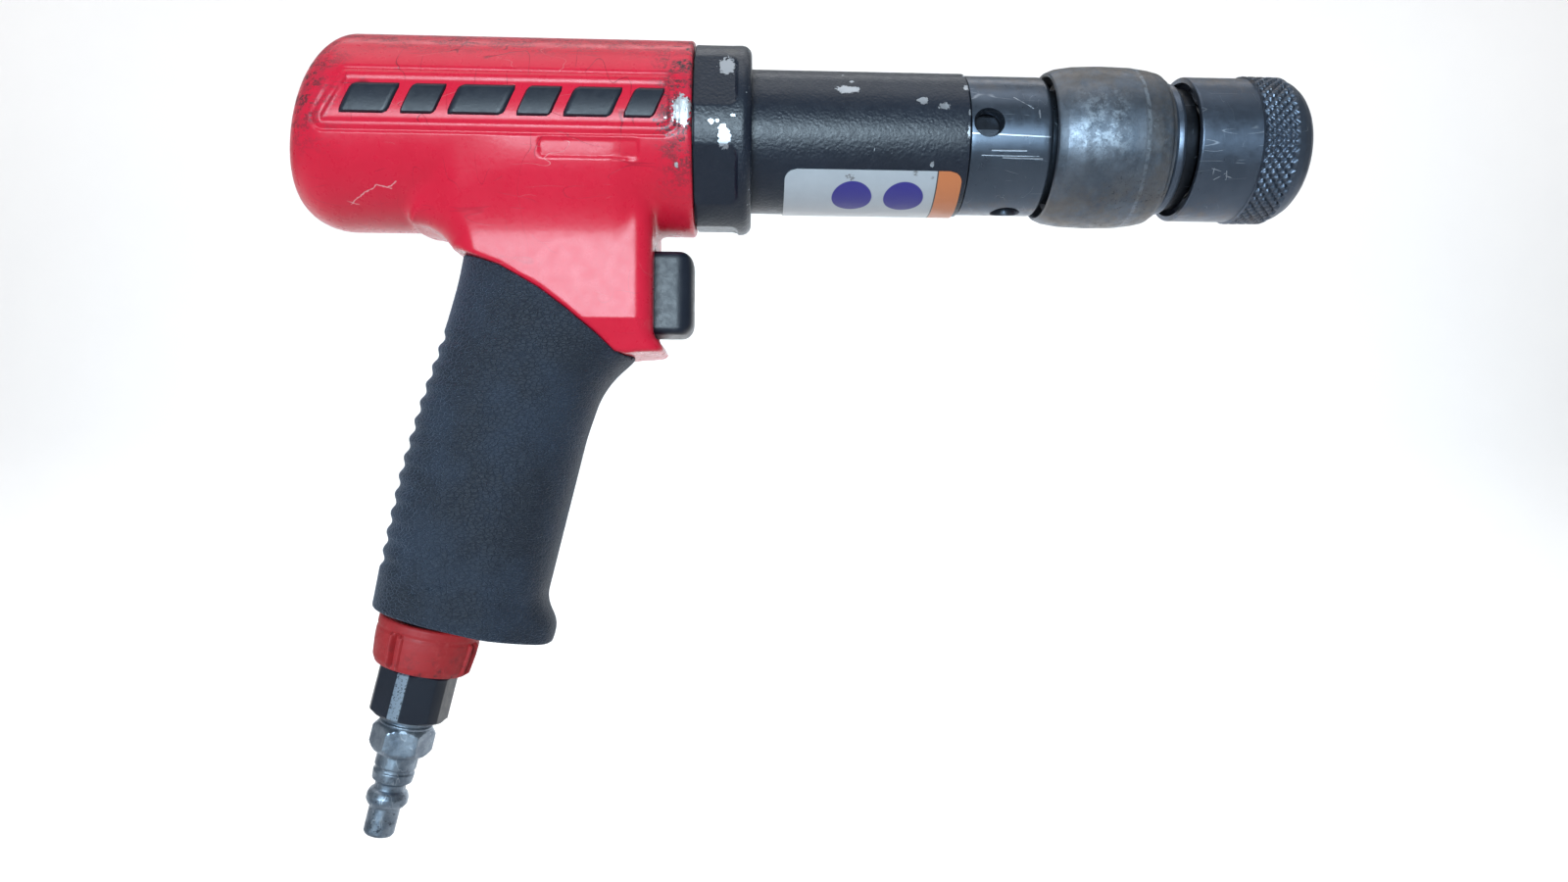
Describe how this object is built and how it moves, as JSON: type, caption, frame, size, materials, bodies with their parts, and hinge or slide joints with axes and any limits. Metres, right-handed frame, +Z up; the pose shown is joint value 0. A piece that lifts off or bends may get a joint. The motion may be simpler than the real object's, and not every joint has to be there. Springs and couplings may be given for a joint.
{
  "type": "pneumatic rivet gun",
  "caption": "Pistol-grip pneumatic rivet gun with a button trigger, a ball-type quick-change chuck, a swivelling exhaust deflector and a male air plug.",
  "frame": {"origin": "centre of the hand grip, on the gun's middle plane", "axes": "+X along the barrel towards the chuck, +Y to the gun's right, +Z up from the grip to the barrel"},
  "size_m": [0.2691, 0.0516, 0.2143],
  "materials": {
    "red_paint": "glossy red paint over cast alloy, scuffed at the rear and chipped near the collar",
    "grip_rubber": "matte black rubber with a fine leathery grain",
    "black_paint": "black wrinkle paint with bare metal chips",
    "label": "blank laminated sticker",
    "blued_steel": "blued steel, satin to glossy, scratched",
    "worn_steel": "blued steel worn bright on its highest band, brown patina and pits",
    "machined_steel": "ground steel",
    "spring_steel": "drawn spring wire",
    "plated_steel": "zinc plate, dulled and scratched",
    "seal_rubber": "plain black rubber",
    "black_plastic": "satin black, bare corners on the bushing",
    "red_plastic": "matte red plastic with ground-in dirt"
  },
  "bodies": {
    "gun_body": {"housing": "red_paint", "grip": "grip_rubber", "collar": "black_paint", "barrel_sleeve": "black_paint", "barrel_label": "label", "barrel_nose": "blued_steel", "cylinder": "machined_steel", "cylinder_oring": "seal_rubber", "valve_cap": "machined_steel", "valve_body": "machined_steel", "valve_dowel": "machined_steel", "rear_gasket": "seal_rubber", "throttle_seat": "machined_steel", "throttle_spring": "spring_steel", "stem_guide": "machined_steel", "stem_oring": "seal_rubber", "chuck_ring": "worn_steel", "chuck_core": "blued_steel", "chuck_wiper": "blued_steel", "chuck_snap_ring": "spring_steel", "chuck_spring": "spring_steel", "shank_bumper": "seal_rubber", "deflector_oring": "seal_rubber", "inlet_bushing": "black_plastic", "inlet_screen": "machined_steel", "air_plug": "plated_steel"},
    "trigger_assembly": {"trigger": "black_plastic", "trigger_stem": "machined_steel", "trigger_pin": "machined_steel", "throttle_valve": "seal_rubber"},
    "hammer_piston": {"piston": "machined_steel"},
    "shuttle": {"valve_shuttle": "machined_steel"},
    "sliding_sleeve": {"chuck_sleeve": "blued_steel"},
    "ball_1": {"chuck_ball_1": "machined_steel"},
    "ball_2": {"chuck_ball_2": "machined_steel"},
    "ball_3": {"chuck_ball_3": "machined_steel"},
    "ball_4": {"chuck_ball_4": "machined_steel"},
    "exhaust_deflector": {"exhaust_ring": "red_plastic"}
  },
  "joints": [
    {"name": "trigger_slide", "type": "slide", "parent": "gun_body", "child": "trigger_assembly", "axis": [-1, 0, 0], "range_m": [0, 0.006], "stiffness_N_per_m": 1500, "springref_m": -0.004, "deforming": ["throttle_spring"]},
    {"name": "piston_slide", "type": "slide", "parent": "gun_body", "child": "hammer_piston", "axis": [1, 0, 0], "range_m": [0, 0.088]},
    {"name": "shuttle_slide", "type": "slide", "parent": "gun_body", "child": "shuttle", "axis": [1, 0, 0], "range_m": [0, 0.003]},
    {"name": "chuck_sleeve_slide", "type": "slide", "parent": "gun_body", "child": "sliding_sleeve", "axis": [-1, 0, 0], "range_m": [0, 0.004], "stiffness_N_per_m": 2000, "springref_m": -0.005, "deforming": ["chuck_spring"]},
    {"name": "ball_1_slide", "type": "slide", "parent": "gun_body", "child": "ball_1", "axis": [0, 1, 0], "range_m": [0, 0.0014]},
    {"name": "ball_2_slide", "type": "slide", "parent": "gun_body", "child": "ball_2", "axis": [0, 0, 1], "range_m": [0, 0.0014]},
    {"name": "ball_3_slide", "type": "slide", "parent": "gun_body", "child": "ball_3", "axis": [0, -1, 0], "range_m": [0, 0.0014]},
    {"name": "ball_4_slide", "type": "slide", "parent": "gun_body", "child": "ball_4", "axis": [0, 0, -1], "range_m": [0, 0.0014]},
    {"name": "exhaust_swivel", "type": "hinge", "parent": "gun_body", "child": "exhaust_deflector", "pos_m": [-0.02048, 0, -0.05103], "axis": [0.2334, 0, 0.9724], "continuous": true}
  ],
  "couplings": [
    {"joint": "ball_1_slide", "follows": "chuck_sleeve_slide", "ratio": 0.35},
    {"joint": "ball_2_slide", "follows": "chuck_sleeve_slide", "ratio": 0.35},
    {"joint": "ball_3_slide", "follows": "chuck_sleeve_slide", "ratio": 0.35},
    {"joint": "ball_4_slide", "follows": "chuck_sleeve_slide", "ratio": 0.35}
  ]
}
